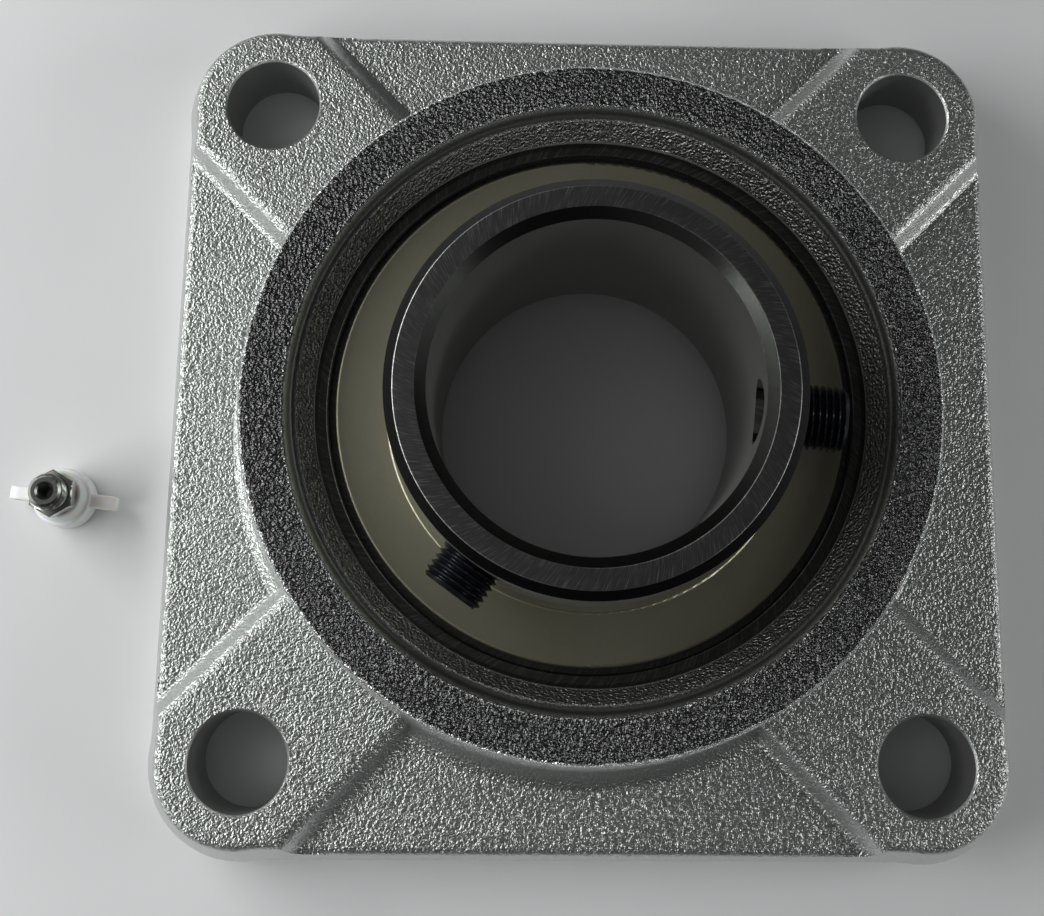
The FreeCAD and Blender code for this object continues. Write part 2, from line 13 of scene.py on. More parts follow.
import bpy
import numpy as np
from mathutils import Euler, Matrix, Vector


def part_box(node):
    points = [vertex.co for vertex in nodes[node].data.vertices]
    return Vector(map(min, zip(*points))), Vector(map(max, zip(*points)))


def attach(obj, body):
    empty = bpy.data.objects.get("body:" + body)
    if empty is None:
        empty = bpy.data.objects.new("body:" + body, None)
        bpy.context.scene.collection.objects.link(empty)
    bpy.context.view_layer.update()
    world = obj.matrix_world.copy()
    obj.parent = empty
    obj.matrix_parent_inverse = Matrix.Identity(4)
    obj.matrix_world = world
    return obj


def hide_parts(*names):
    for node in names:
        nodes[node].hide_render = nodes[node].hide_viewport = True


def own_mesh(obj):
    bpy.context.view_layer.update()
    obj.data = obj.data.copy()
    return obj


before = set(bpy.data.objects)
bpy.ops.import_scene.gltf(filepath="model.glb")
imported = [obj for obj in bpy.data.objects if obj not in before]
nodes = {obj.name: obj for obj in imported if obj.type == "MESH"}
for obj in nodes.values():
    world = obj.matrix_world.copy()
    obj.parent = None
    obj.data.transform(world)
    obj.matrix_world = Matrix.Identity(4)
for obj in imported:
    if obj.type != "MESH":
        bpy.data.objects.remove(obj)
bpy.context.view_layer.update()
MM = 0.001

# %% [markdown]
# ## Camera
#
# The photograph was taken by hand from a little under 30 cm above the bearing. Circles of known
# size in the picture, such as the bore, the boss and the bolt holes, fix where the lens was. The
# frame is a cut-out of a larger picture, so the lens is shifted as well as turned.

# %% Place the camera
picture_width, picture_height = 1044, 916
focal_pixels = 1590.0
view_centre = (583.0, 300.0)
lens_place = (-0.0101, -0.0407, 0.2814)
lens_turn = (13.10, -2.09, 0.47)

lens = bpy.data.cameras.new("photo_lens")
lens.sensor_fit = "HORIZONTAL"
lens.sensor_width = 36.0
lens.lens = focal_pixels / picture_width * lens.sensor_width
lens.shift_x = (picture_width / 2 - view_centre[0]) / picture_width
lens.shift_y = (view_centre[1] - picture_height / 2) / picture_width
lens.clip_start = 0.01
camera = bpy.data.objects.new("photo_camera", lens)
camera.location = lens_place
camera.rotation_euler = Euler([math.radians(angle) for angle in lens_turn])
bpy.context.scene.collection.objects.link(camera)
bpy.context.scene.camera = camera
print("lens:", round(lens.lens, 1), "mm, shift:", round(lens.shift_x, 3), round(lens.shift_y, 3))

# %% [markdown]
# ## Arithmetic with nodes
#
# Every finish below is worked out from the place of a point, so its nodes are mostly arithmetic.
# They could be written out one by one, but they read better when a sum looks like a sum: calc
# adds one Math node and hands back its output, and feed takes outputs and plain values alike.

# %% Helpers that calculate
def feed(tree, socket, value):
    """Links an output to the socket, or types the number or colour into it."""
    if isinstance(value, bpy.types.NodeSocket):
        tree.links.new(value, socket)
    elif isinstance(value, (tuple, list)) and socket.type == "RGBA" and len(value) == 3:
        socket.default_value = (*value, 1.0)
    else:
        socket.default_value = value


def calc(tree, operation, *values):
    """One Math node: operation of the values."""
    node = tree.nodes.new("ShaderNodeMath")
    node.operation = operation
    for socket, value in zip(node.inputs, values):
        feed(tree, socket, value)
    return node.outputs[0]


print("helpers that calculate:", [helper.__name__ for helper in (feed, calc)])

# %% [markdown]
# ## Masks
#
# A mask is 1 where a finish shows and 0 where it doesn't. Masks that must hold together are
# multiplied, the largest wins where one is enough, and a soft step turns a measure into a mask.

# %% Helpers for masks
def all_of(tree, *masks):
    """Product of the masks: 1 where every one of them is 1."""
    product = masks[0]
    for mask in masks[1:]:
        product = calc(tree, "MULTIPLY", product, mask)
    return product


def any_of(tree, *masks):
    """Largest of the masks: 1 where at least one of them is 1."""
    largest = masks[0]
    for mask in masks[1:]:
        largest = calc(tree, "MAXIMUM", largest, mask)
    return largest


def step_up(tree, value, low, high):
    """0 below low, 1 above high and a soft step between; with low above high it falls."""
    node = tree.nodes.new("ShaderNodeMapRange")
    node.interpolation_type = "SMOOTHSTEP"
    falling = low > high
    feed(tree, node.inputs["Value"], value)
    node.inputs["From Min"].default_value = min(low, high)
    node.inputs["From Max"].default_value = max(low, high)
    node.inputs["To Min"].default_value = 1.0 if falling else 0.0
    node.inputs["To Max"].default_value = 0.0 if falling else 1.0
    return node.outputs["Result"]


print("helpers for masks:", [helper.__name__ for helper in (all_of, any_of, step_up)])

# %% [markdown]
# ## Mixing
#
# A mask between 0 and 1 chooses between two finishes. The Mix node does it for colours and for
# numbers, but its sockets sit in different places for each, so there is one helper for both kinds.

# %% Helpers that mix
def blend(tree, share, first, second):
    """Colour that goes from first to second as share goes from 0 to 1."""
    node = tree.nodes.new("ShaderNodeMix")
    node.data_type = "RGBA"
    feed(tree, node.inputs[0], share)
    feed(tree, node.inputs[6], first)
    feed(tree, node.inputs[7], second)
    return node.outputs[2]


def between(tree, share, first, second):
    """Number that goes from first to second as share goes from 0 to 1."""
    node = tree.nodes.new("ShaderNodeMix")
    feed(tree, node.inputs[0], share)
    feed(tree, node.inputs[2], first)
    feed(tree, node.inputs[3], second)
    return node.outputs[0]


print("helpers that mix:", [helper.__name__ for helper in (blend, between)])

# %% [markdown]
# ## Places
#
# Object coordinates are the metres of the frame, and they stay with a piece when it moves. In
# millimetres the sizes of the drawing can be used as they are. The bearing is round, so most
# zones are told apart by their distance from an upright axis.

# %% Helpers for places
def place_in_mm(tree):
    """Object coordinates in millimetres."""
    where = tree.nodes.new("ShaderNodeTexCoord")
    mapping = tree.nodes.new("ShaderNodeMapping")
    tree.links.new(where.outputs["Object"], mapping.inputs["Vector"])
    mapping.inputs["Scale"].default_value = [1 / MM] * 3
    return mapping.outputs["Vector"]


def apart(tree, vector):
    """The x, y and z outputs of a vector."""
    node = tree.nodes.new("ShaderNodeSeparateXYZ")
    tree.links.new(vector, node.inputs[0])
    return node.outputs


def together(tree, x, y, z):
    """A vector made of three numbers."""
    node = tree.nodes.new("ShaderNodeCombineXYZ")
    for socket, value in zip(node.inputs, (x, y, z)):
        feed(tree, socket, value)
    return node.outputs[0]


def distance_from(tree, x, y, centre_x, centre_y):
    """Square root of the sum of the squared distances along x and y from an upright axis."""
    across = calc(tree, "SUBTRACT", x, centre_x)
    along = calc(tree, "SUBTRACT", y, centre_y)
    squares = calc(tree, "MULTIPLY_ADD", across, across, calc(tree, "MULTIPLY", along, along))
    return calc(tree, "SQRT", squares)


def upwardness(tree):
    """How far the surface faces up: 1 for a level top, 0 for a wall, -1 for an underside."""
    return apart(tree, tree.nodes.new("ShaderNodeNewGeometry").outputs["Normal"])[2]


def noise(tree, vector, scale, detail=2.0, roughness=0.5):
    """Noise between 0 and 1; scale is in bumps per unit of the vector."""
    node = tree.nodes.new("ShaderNodeTexNoise")
    feed(tree, node.inputs["Vector"], vector)
    feed(tree, node.inputs["Scale"], scale)
    node.inputs["Detail"].default_value = detail
    node.inputs["Roughness"].default_value = roughness
    return node.outputs["Fac"]


print("one unit in the materials is", MM, "m")

# %% [markdown]
# ## Materials and groups
#
# A finish is a material with one Principled shader. An effect that several finishes share, such
# as grain or grinding lines, is a node group with named sockets: it is built once, and each
# material places it with its own values.

# %% Helpers for materials
def new_material(name):
    """A material with its Principled shader: (material, node tree, shader)."""
    material = bpy.data.materials.new(name)
    material.use_nodes = True
    tree = material.node_tree
    return material, tree, tree.nodes["Principled BSDF"]


def new_group(name, inputs, outputs):
    """A shader node group with those (name, socket type) sockets: (group, inputs, outputs)."""
    group = bpy.data.node_groups.new(name, "ShaderNodeTree")
    for label, kind in inputs:
        group.interface.new_socket(label, in_out="INPUT", socket_type=kind)
    for label, kind in outputs:
        group.interface.new_socket(label, in_out="OUTPUT", socket_type=kind)
    given, made = group.nodes.new("NodeGroupInput"), group.nodes.new("NodeGroupOutput")
    return group, given.outputs, made.inputs


def use_group(tree, group, **values):
    """Outputs of a group placed with its own values; underscores stand for spaces."""
    node = tree.nodes.new("ShaderNodeGroup")
    node.node_tree = group
    for label, value in values.items():
        feed(tree, node.inputs[label.replace("_", " ")], value)
    return node.outputs


NUMBER, VECTOR = "NodeSocketFloat", "NodeSocketVector"
print("kinds of group socket:", NUMBER, VECTOR)

# %% [markdown]
# ## Relief and dressing
#
# Relief finer than the mesh is a bump of the shading. A finished material replaces whatever the
# CAD model gave a node.

# %% Helpers for surfaces
def bump(tree, shader, height, depth_mm):
    """Raises the surface by height times depth_mm, in the shading only."""
    node = tree.nodes.new("ShaderNodeBump")
    feed(tree, node.inputs["Height"], height)
    node.inputs["Distance"].default_value = depth_mm * MM
    tree.links.new(node.outputs["Normal"], shader.inputs["Normal"])


def dress(material, *names):
    """Gives these CAD nodes that material."""
    for name in names:
        slots = nodes[name].material_slots
        if len(slots) == 0:
            nodes[name].data.materials.append(material)
        for slot in slots:
            slot.material = material


print("nodes to dress:", len(nodes))

# %% [markdown]
# ## Mottle
#
# No real surface has one colour or one gloss all over. Three octaves of noise give the slow clouds
# of the paint as well as the specks of the plating: only the scale differs, so it is an input.

# %% Mottle group
mottle_group, mottle_given, mottle_made = new_group(
    "mottle", [("Place", VECTOR), ("Scale", NUMBER)], [("Pattern", NUMBER)])
octaves = noise(mottle_group, mottle_given["Place"], mottle_given["Scale"], detail=3.0, roughness=0.6)
mottle_group.links.new(octaves, mottle_made["Pattern"])


def mottle(tree, place, scale):
    """Pattern of the mottle group, with that many specks per millimetre."""
    return use_group(tree, mottle_group, Place=place, Scale=scale)["Pattern"]


print("mottle group:", len(mottle_group.nodes), "nodes")

# %% [markdown]
# ## Sand-cast grain
#
# The mould was sand, and the iron took its grain: pebbles of about half a millimetre, run
# together in places, under a coat of silver paint. A Voronoi pattern alone gives round cells that
# look like leather, and noise alone gives clouds. Cells whose place is pushed about by noise,
# with a finer noise on top, come close to cast sand. The boss face and the slope in its mouth
# are rougher and finer, so the group has a second output for them: a swell that is as wide as a
# pebble, with the same pebbles in it.

# %% Grain group
drift_scale, push = 0.8, 1.6
fine_scale, fine_share, pebble_share = 1.7, 0.6, -0.7
swell_share, wave_pebble_share = 3.6, -0.5
grain_group, grain_given, grain_made = new_group(
    "sand_grain", [("Place", VECTOR), ("Size", NUMBER)], [("Height", NUMBER), ("Waves", NUMBER)])
scaled = grain_group.nodes.new("ShaderNodeVectorMath")
scaled.operation = "SCALE"
feed(grain_group, scaled.inputs[0], grain_given["Place"])
feed(grain_group, scaled.inputs["Scale"], calc(grain_group, "DIVIDE", 1.0, grain_given["Size"]))
pebble_place = scaled.outputs[0]
drift = grain_group.nodes.new("ShaderNodeTexNoise")
feed(grain_group, drift.inputs["Vector"], pebble_place)
drift.inputs["Scale"].default_value = drift_scale
drift.inputs["Detail"].default_value = 0.0
pushed = grain_group.nodes.new("ShaderNodeVectorMath")
pushed.operation = "MULTIPLY_ADD"
feed(grain_group, pushed.inputs[0], drift.outputs["Color"])
pushed.inputs[1].default_value = [push] * 3
feed(grain_group, pushed.inputs[2], pebble_place)
pebbles = grain_group.nodes.new("ShaderNodeTexVoronoi")
pebbles.feature = "F1"
pebbles.inputs["Scale"].default_value = 1.0
feed(grain_group, pebbles.inputs["Vector"], pushed.outputs[0])
pebble_edge = pebbles.outputs["Distance"]
fine = noise(grain_group, pebble_place, fine_scale, detail=1.0)
swell = noise(grain_group, pebble_place, 1.0, detail=0.8, roughness=0.45)
sunk = calc(grain_group, "MULTIPLY", pebble_edge, pebble_share)
height = calc(grain_group, "MULTIPLY_ADD", fine, fine_share, sunk)
wave_sunk = calc(grain_group, "MULTIPLY", pebble_edge, wave_pebble_share)
waves = calc(grain_group, "MULTIPLY_ADD", swell, swell_share, wave_sunk)
grain_group.links.new(height, grain_made["Height"])
grain_group.links.new(waves, grain_made["Waves"])
print("grain group:", len(grain_group.nodes), "nodes")

# %% [markdown]
# ## Zones of the casting
#
# One casting carries several finishes. The outside is silver paint over grain; the flat face of
# the boss is darker and sparkles; the bolt holes are drilled, the seat is turned and the mounting
# face is milled. They meet at known radii and heights, so a group turns the place of a point into
# masks, and the mesh stays whole. First come the measures: the height, the distance from the
# shaft and the distance from the nearest bolt hole. The borders of cast zones wander a little,
# those of machined zones don't.

# %% Measures of the casting
bolt_spacing, hole_radius = 111.0, 8.0
boss_radius, boss_height = 55.0, 40.0
mouth_radius, groove_radius, seat_radius = 47.55, 45.85, 46.9
slope_foot, seat_top = 34.0, 34.4
milled_low, milled_high = 0.04, 0.08
wander_scale, wander_width = 1.6, 0.7
cut_border, cast_border = 0.1, 0.15
zone_names = ("Boss face", "Drilled", "Turned", "Milled", "Slope", "Groove", "Rim", "Mouth edge")
zone_group, zone_given, zone_made = new_group(
    "casting_zones", [("Place", VECTOR)], [(name, NUMBER) for name in zone_names])
zx, zy, zz = apart(zone_group, zone_given["Place"])
wander_noise = noise(zone_group, zone_given["Place"], wander_scale, detail=1.0)
wander = calc(zone_group, "SUBTRACT", wander_noise, 0.5)
radius = distance_from(zone_group, zx, zy, 0.0, 0.0)
cast_radius = calc(zone_group, "MULTIPLY_ADD", wander, wander_width, radius)
hole_distance = distance_from(zone_group, calc(zone_group, "ABSOLUTE", zx),
                              calc(zone_group, "ABSOLUTE", zy), bolt_spacing / 2, bolt_spacing / 2)
print("measures of the casting:", len(zone_group.nodes), "nodes")

# %% [markdown]
# ## Masks of the zones
#
# A step is a measure and the two marks in millimetres between which its mask rises; with the
# larger mark first it falls. Zones below the boss face are given by their depth under it.

# %% Zone masks
def zone(*steps):
    """Mask that is 1 where each (value, low, high) step is up."""
    return all_of(zone_group, *[step_up(zone_group, *step) for step in steps])


def below_top(low, high):
    """Step in height: boss height minus low to boss height minus high."""
    return zz, boss_height - low, boss_height - high


zone_masks = (
    zone(below_top(0.7, 0.25), (cast_radius, mouth_radius, mouth_radius + cast_border)),
    zone((hole_distance, hole_radius + 0.3, hole_radius + 0.12)),
    zone((radius, seat_radius + cut_border, seat_radius - cut_border), (zz, seat_top, 34.1)),
    zone((zz, milled_high, milled_low)),
    zone((cast_radius, groove_radius + cast_border, groove_radius - cast_border),
         (zz, slope_foot, seat_top)),
    zone((cast_radius, groove_radius - cast_border, groove_radius + cast_border),
         (cast_radius, mouth_radius, mouth_radius - 0.2), below_top(2.4, 2.1)),
    zone(below_top(1.4, 0.9), (cast_radius, boss_radius - 1.1, boss_radius - 0.8)),
    zone(below_top(1.0, 0.6), (cast_radius, mouth_radius + 0.45, mouth_radius + 0.25)))
for name, mask in zip(zone_names, zone_masks):
    zone_group.links.new(mask, zone_made[name])
print("zones of the casting:", zone_names)

# %% [markdown]
# ## Silver casting
#
# The paint is full of aluminium flakes, so it behaves like a rough metal: a facet that faces the
# window flashes, one that faces the dark ceiling stays dark. That contrast is the look of the real
# casting. Walls lie flatter than level faces, because the mould lets go of them along their
# length. Walls are also painted brighter than level faces, a painted highlight for the window light
# along the edges of the flange and the pads. The boss face is the darkest zone and the glossiest, so
# its facets flash against near black. Where a zone has no grain, the tool has cut it away.

# %% Casting material
silver = ((0.36, 0.38, 0.365), (0.43, 0.45, 0.435))
wall_silver_painted_highlight = (0.66, 0.68, 0.665)
# The Rim colour is a painted highlight: the pale line of window light along the boss's rounded outer edge.
zone_colours = {"Boss face": (0.100, 0.102, 0.101), "Slope": (0.20, 0.205, 0.20),
                # The Groove and Mouth edge colours are painted shade, darker than the paint around them:
                # shade in the cove under the mouth's edge, and a dimmed line of light along that edge.
                "Groove": (0.13, 0.135, 0.13), "Rim": (0.72, 0.74, 0.73),
                "Mouth edge": (0.25, 0.26, 0.255)}
cut_iron = (0.40, 0.41, 0.40)
cast_rough, boss_rough, groove_rough, cut_rough = 0.36, 0.26, 0.42, 0.5
cloud_scale, flake_share = 0.05, 0.95
level_marks, hole_wall_marks = (0.72, 0.95), (0.9, 0.8)
casting, tree, shader = new_material("silver_casting")
place = place_in_mm(tree)
upward = upwardness(tree)
zones = use_group(tree, zone_group, Place=place)
on_boss, on_slope, in_groove = zones["Boss face"], zones["Slope"], zones["Groove"]
wavy = any_of(tree, on_boss, on_slope)
in_hole = all_of(tree, zones["Drilled"], step_up(tree, upward, *hole_wall_marks))
machined = any_of(tree, in_hole, zones["Turned"], zones["Milled"])
level = any_of(tree, step_up(tree, upward, *level_marks), on_slope, zones["Mouth edge"])
colour = blend(tree, mottle(tree, place, cloud_scale), *silver)
# Walls get the brighter colour: a painted highlight, not a different coat.
colour = blend(tree, level, wall_silver_painted_highlight, colour)
for name, tint in zone_colours.items():
    colour = blend(tree, zones[name], colour, tint)
tree.links.new(blend(tree, machined, colour, cut_iron), shader.inputs["Base Color"])
shader.inputs["Metallic"].default_value = flake_share
rough = between(tree, in_groove, between(tree, on_boss, cast_rough, boss_rough), groove_rough)
tree.links.new(between(tree, machined, rough, cut_rough), shader.inputs["Roughness"])
print("casting colours:", len(tree.nodes), "nodes")

# %% [markdown]
# ## Relief of the casting
#
# The grain is a bump of the shading, because it is finer than the mesh: its facets are half a
# millimetre wide. Its depth is full on level faces and a little over half on walls. A quarter of
# it is left in the groove, which was smoothed, and almost none where the casting is machined.

# %% Casting relief
grain_size, wavy_size, relief_depth = 0.58, 0.49, 0.23
wall_share, wave_share, groove_share, machined_share = 0.6, 0.84, 0.25, 0.03
grain = use_group(tree, grain_group, Place=place, Size=between(tree, wavy, grain_size, wavy_size))
cast_relief = calc(tree, "MULTIPLY", grain["Height"], between(tree, level, wall_share, 1.0))
relief = between(tree, wavy, cast_relief, calc(tree, "MULTIPLY", grain["Waves"], wave_share))
relief = calc(tree, "MULTIPLY", relief, between(tree, in_groove, 1.0, groove_share))
relief = calc(tree, "MULTIPLY", relief, between(tree, machined, 1.0, machined_share))
bump(tree, shader, relief, relief_depth)
dress(casting, "housing")
print("casting with relief:", len(tree.nodes), "nodes")

# %% [markdown]
# ## Grinding lines
#
# The rings are hardened steel, ground after hardening. The wheel leaves lines: a slanting hatch on
# the end faces, rings on the walls. Noise that is stretched along the way the wheel went gives
# both. The group also tells level faces from walls and chamfers by how far they face up, and lets
# the edges of the end face fall, which gives the thin bright line where the face meets its chamfer.

# %% Grinding group
hatch_count, hatch_slant, hatch_stretch = 170.0, 3.0, 0.25
round_stretch, ring_density = 0.12, 7.0
face_marks, chamfer_low, chamfer_high, fall_marks = (0.3, 0.6), (0.5, 0.6), (0.9, 0.8), (-0.16, 0.04)
grinding_group, ground_given, ground_made = new_group(
    "grinding", [("Place", VECTOR), ("Upward", NUMBER), ("Inner edge", NUMBER), ("Outer edge", NUMBER)],
    [("Lines", NUMBER), ("Level", NUMBER), ("Chamfer", NUMBER), ("Fall", NUMBER)])
gx, gy, gz = apart(grinding_group, ground_given["Place"])
reach = distance_from(grinding_group, gx, gy, 0.0, 0.0)
spoke = calc(grinding_group, "MULTIPLY", calc(grinding_group, "ARCTAN2", gy, gx), hatch_count)
hatch = calc(grinding_group, "MULTIPLY_ADD", reach, hatch_slant, spoke)
along_hatch = calc(grinding_group, "MULTIPLY", reach, hatch_stretch)
hatch_place = together(grinding_group, hatch, along_hatch, 0.0)
face_lines = noise(grinding_group, hatch_place, 1.0, 3.0, 0.7)
stretches = ((gx, round_stretch), (gy, round_stretch), (gz, ring_density))
wall_place = together(grinding_group, *[calc(grinding_group, "MULTIPLY", *pair) for pair in stretches])
wall_lines = noise(grinding_group, wall_place, 1.0, 2.0, 0.7)
is_level = step_up(grinding_group, ground_given["Upward"], *face_marks)
is_chamfer = all_of(grinding_group, step_up(grinding_group, ground_given["Upward"], *chamfer_low),
                    step_up(grinding_group, ground_given["Upward"], *chamfer_high))
past_edge = any_of(grinding_group, calc(grinding_group, "SUBTRACT", ground_given["Inner edge"], reach),
                   calc(grinding_group, "SUBTRACT", reach, ground_given["Outer edge"]))
grinding_group.links.new(between(grinding_group, is_level, wall_lines, face_lines), ground_made["Lines"])
grinding_group.links.new(is_level, ground_made["Level"])
grinding_group.links.new(is_chamfer, ground_made["Chamfer"])
grinding_group.links.new(step_up(grinding_group, past_edge, *fall_marks), ground_made["Fall"])
print("grinding group:", len(grinding_group.nodes), "nodes")

# %% [markdown]
# ## Ground steel
#
# Both rings are the same steel, but the inner ring's end face is ground bright and the outer ring's
# is darker with oil. The chamfers are turned; their near-black colour is painted shade, standing in
# for the dark room that they mirror. The bore is honed to a dull even grey, so it is lighter and
# rougher than the faces.

# %% Ring materials
chamfer_painted_shade, chamfer_rough = (0.080, 0.084, 0.079), 0.21
line_gain, line_start, line_full = 2.0, 0.50, 0.70
ground_rough, wall_extra_rough = (0.24, 0.40), 0.12
wall_score, face_score, edge_fall = 0.048, 0.012, -0.06


def ring_steel(name, faces, wall, face_edges):
    """Steel with grinding lines; face_edges are the radii where the end face begins and ends."""
    material, tree, shader = new_material(name)
    place = place_in_mm(tree)
    ground = use_group(tree, grinding_group, Place=place, Upward=upwardness(tree),
                       Inner_edge=face_edges[0], Outer_edge=face_edges[1])
    lines, level, chamfer = ground["Lines"], ground["Level"], ground["Chamfer"]
    bright_line = [line_gain * part for part in faces[1]]
    colour = blend(tree, mottle(tree, place, 0.12), *faces)
    colour = blend(tree, step_up(tree, lines, line_start, line_full), colour, bright_line)
    colour = blend(tree, level, wall, colour)
    # Chamfers take a near-black colour: painted shade for the dark room that they mirror.
    tree.links.new(blend(tree, chamfer, colour, chamfer_painted_shade), shader.inputs["Base Color"])
    shader.inputs["Metallic"].default_value = 1.0
    wall_rough = between(tree, level, wall_extra_rough, 0.0)
    dull = calc(tree, "ADD", between(tree, lines, *ground_rough), wall_rough)
    tree.links.new(between(tree, chamfer, dull, chamfer_rough), shader.inputs["Roughness"])
    scored = calc(tree, "MULTIPLY", lines, between(tree, level, wall_score, face_score))
    bump(tree, shader, calc(tree, "MULTIPLY_ADD", ground["Fall"], edge_fall, scored), 1.0)
    return material


inner_steel = ring_steel("inner_ring_steel", ((0.19, 0.195, 0.19), (0.26, 0.265, 0.26)),
                         (0.40, 0.405, 0.39), (26.6, 29.8))
outer_steel = ring_steel("outer_ring_steel", ((0.10, 0.10, 0.098), (0.14, 0.14, 0.136)),
                         (0.14, 0.14, 0.138), (41.6, 42.94))
dress(inner_steel, "inner_ring")
dress(outer_steel, "outer_ring")
print("ring steel:", len(inner_steel.node_tree.nodes), "nodes")

# %% [markdown]
# ## Flinger
#
# The disc in front of the seal is pressed sheet with an olive-grey plating. It is satin, so it
# takes a soft light from the window's side and falls off to almost black on the other one.

# %% Flinger material
olive = ((0.335, 0.325, 0.24), (0.40, 0.39, 0.295))
olive_speck, speck_scale, speck_marks = (0.50, 0.49, 0.37), 6.0, (0.62, 0.72)
flinger_finish, tree, shader = new_material("olive_flinger")
place = place_in_mm(tree)
speck = mottle(tree, place, speck_scale)
colour = blend(tree, mottle(tree, place, 0.08), *olive)
colour = blend(tree, step_up(tree, speck, *speck_marks), colour, olive_speck)
tree.links.new(colour, shader.inputs["Base Color"])
shader.inputs["Metallic"].default_value = 1.0
tree.links.new(between(tree, speck, 0.36, 0.46), shader.inputs["Roughness"])
bump(tree, shader, speck, 0.004)
dress(flinger_finish, "front_flinger", "back_flinger")
print("flinger:", len(tree.nodes), "nodes")

# %% [markdown]
# ## Hidden and small steel parts
#
# The cage, the balls and the seals show only through gaps or in a section, yet each has the finish
# of the real part: pressed sheet is dull, balls are lapped to a mirror, rubber is matt. All of
# them are one colour with small changes of tone and gloss, so one function makes them.

# %% Speckled finishes
def speckled(name, colours, metallic, roughness, scale, depth):
    """A finish with small variations of colour, gloss and height: (material, tree, shader)."""
    material, tree, shader = new_material(name)
    pattern = mottle(tree, place_in_mm(tree), scale)
    tree.links.new(blend(tree, pattern, *colours), shader.inputs["Base Color"])
    shader.inputs["Metallic"].default_value = metallic
    tree.links.new(between(tree, pattern, *roughness), shader.inputs["Roughness"])
    bump(tree, shader, pattern, depth)
    return material, tree, shader


cage_sheet = speckled("cage_sheet_steel", ((0.40, 0.40, 0.39), (0.52, 0.52, 0.51)),
                      metallic=1.0, roughness=(0.35, 0.5), scale=1.5, depth=0.01)[0]
ball_steel = speckled("polished_ball_steel", ((0.58, 0.59, 0.60), (0.64, 0.65, 0.66)),
                      metallic=1.0, roughness=(0.06, 0.12), scale=0.8, depth=0.001)[0]
rubber = speckled("matt_rubber", ((0.022, 0.022, 0.024), (0.040, 0.040, 0.042)),
                  metallic=0.0, roughness=(0.55, 0.75), scale=2.5, depth=0.02)[0]
balls = [name for name in nodes if name.startswith("ball_")]
dress(cage_sheet, "cage_front_half", "cage_back_half", "cage_rivets", "front_seal_shell", "back_seal_shell")
dress(ball_steel, "nipple_check_ball", *balls)
dress(rubber, "front_seal_lip", "back_seal_lip")
print("speckled finishes:", [finish.name for finish in (cage_sheet, ball_steel, rubber)])

# %% [markdown]
# ## Turned pieces as grids
#
# A screw, a nipple and a cap are all made of rings round an axis, and a coil spring is made of
# rings round its wire. Each is a grid: one row for each ring along the profile, one column for
# each direction round the axis. The last column joins the first. A piece with a bore through it
# also joins its last row to its first; a piece without one closes each end with a single point.
# The faces must look outwards, and the sign of the volume that they enclose tells which way they
# look.

# %% Faces of a grid
def ring_faces(rows, columns, bored):
    """Quads between the rings of a grid, and the triangles that close its ends if it isn't bored."""
    ring = np.arange(rows * columns).reshape(rows, columns)
    lower, upper = (ring, np.roll(ring, -1, axis=0)) if bored else (ring[:-1], ring[1:])
    quads = np.stack((lower, np.roll(lower, -1, axis=1), np.roll(upper, -1, axis=1), upper), axis=-1)
    if bored:
        return quads.reshape(-1, 4), np.empty((0, 3), dtype=int)
    first, last = ring[0], ring[-1]
    first_pole, last_pole = np.full(columns, ring.size), np.full(columns, ring.size + 1)
    ends = np.concatenate((np.stack((np.roll(first, -1), first, first_pole), axis=-1),
                           np.stack((last, np.roll(last, -1), last_pole), axis=-1)))
    return quads.reshape(-1, 4), ends


def enclosed_volume(points, quads, ends):
    """Sum of the tetrahedra between the origin and each triangle; positive if faces look outwards."""
    triangles = np.concatenate((quads[:, :3], quads[:, [0, 2, 3]], ends))
    one, two, three = (points[triangles[:, side]] for side in range(3))
    return float(np.sum(one * np.cross(two, three)) / 6)


print("a grid of 3 rings by 4 has", [len(faces) for faces in ring_faces(3, 4, False)], "quads, triangles")

# %% [markdown]
# ## From grid to object
#
# The object takes the place of a plain CAD node and moves with that node's body. Its edges are
# sharp where two faces meet at more than a set angle, and smooth elsewhere.

# %% Object of a grid
def turned_piece(name, rings, poles, material, node, body, sharp_above=30.0):
    """Mesh object of a (rows, columns, 3) grid in millimetres that stands for a CAD node."""
    rows, columns = rings.shape[:2]
    quads, ends = ring_faces(rows, columns, len(poles) == 0)
    points = np.concatenate((rings.reshape(-1, 3), np.array(poles).reshape(-1, 3)))
    volume = enclosed_volume(points, quads, ends)
    if volume < 0:
        quads, ends = quads[:, ::-1], ends[:, ::-1]
    mesh = bpy.data.meshes.new(name)
    mesh.from_pydata(points * MM, [], quads.tolist() + ends.tolist())
    mesh.shade_smooth()
    mesh.set_sharp_from_angle(angle=math.radians(sharp_above))
    mesh.materials.append(material)
    piece = bpy.data.objects.new(name, mesh)
    bpy.context.scene.collection.objects.link(piece)
    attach(piece, body)
    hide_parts(node)
    print(name + ":", len(mesh.polygons), "faces,", round(abs(volume) / 1000, 3), "cm3")
    return piece


def middle_of(node):
    """Centre of a node's box in millimetres."""
    return np.mean(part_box(node), axis=0) / MM


print("the set screw on the right is centred at", middle_of("set_screw_right").round(2), "mm")

# %% [markdown]
# ## Threads and hexagons
#
# A thread is a triangle wave wound round a cylinder: going once round, the wave has moved on by one
# pitch. Real crests and roots are cut flat by an eighth of the pitch. A hexagon is the same idea in
# the plane: the distance to its side depends on the direction only.

# %% Thread and hexagon formulas
thread_depth, flat_share = 0.61, 0.125


def thread_radius(turn, along, crest, pitch):
    """Crest minus thread_depth pitches times a clipped triangle wave, one pitch on for each turn."""
    wave = np.abs(2 * np.mod(along / pitch - turn / (2 * np.pi), 1.0) - 1)
    flank = np.clip((wave - flat_share) / (1 - 2 * flat_share), 0.0, 1.0)
    return crest - thread_depth * pitch * flank


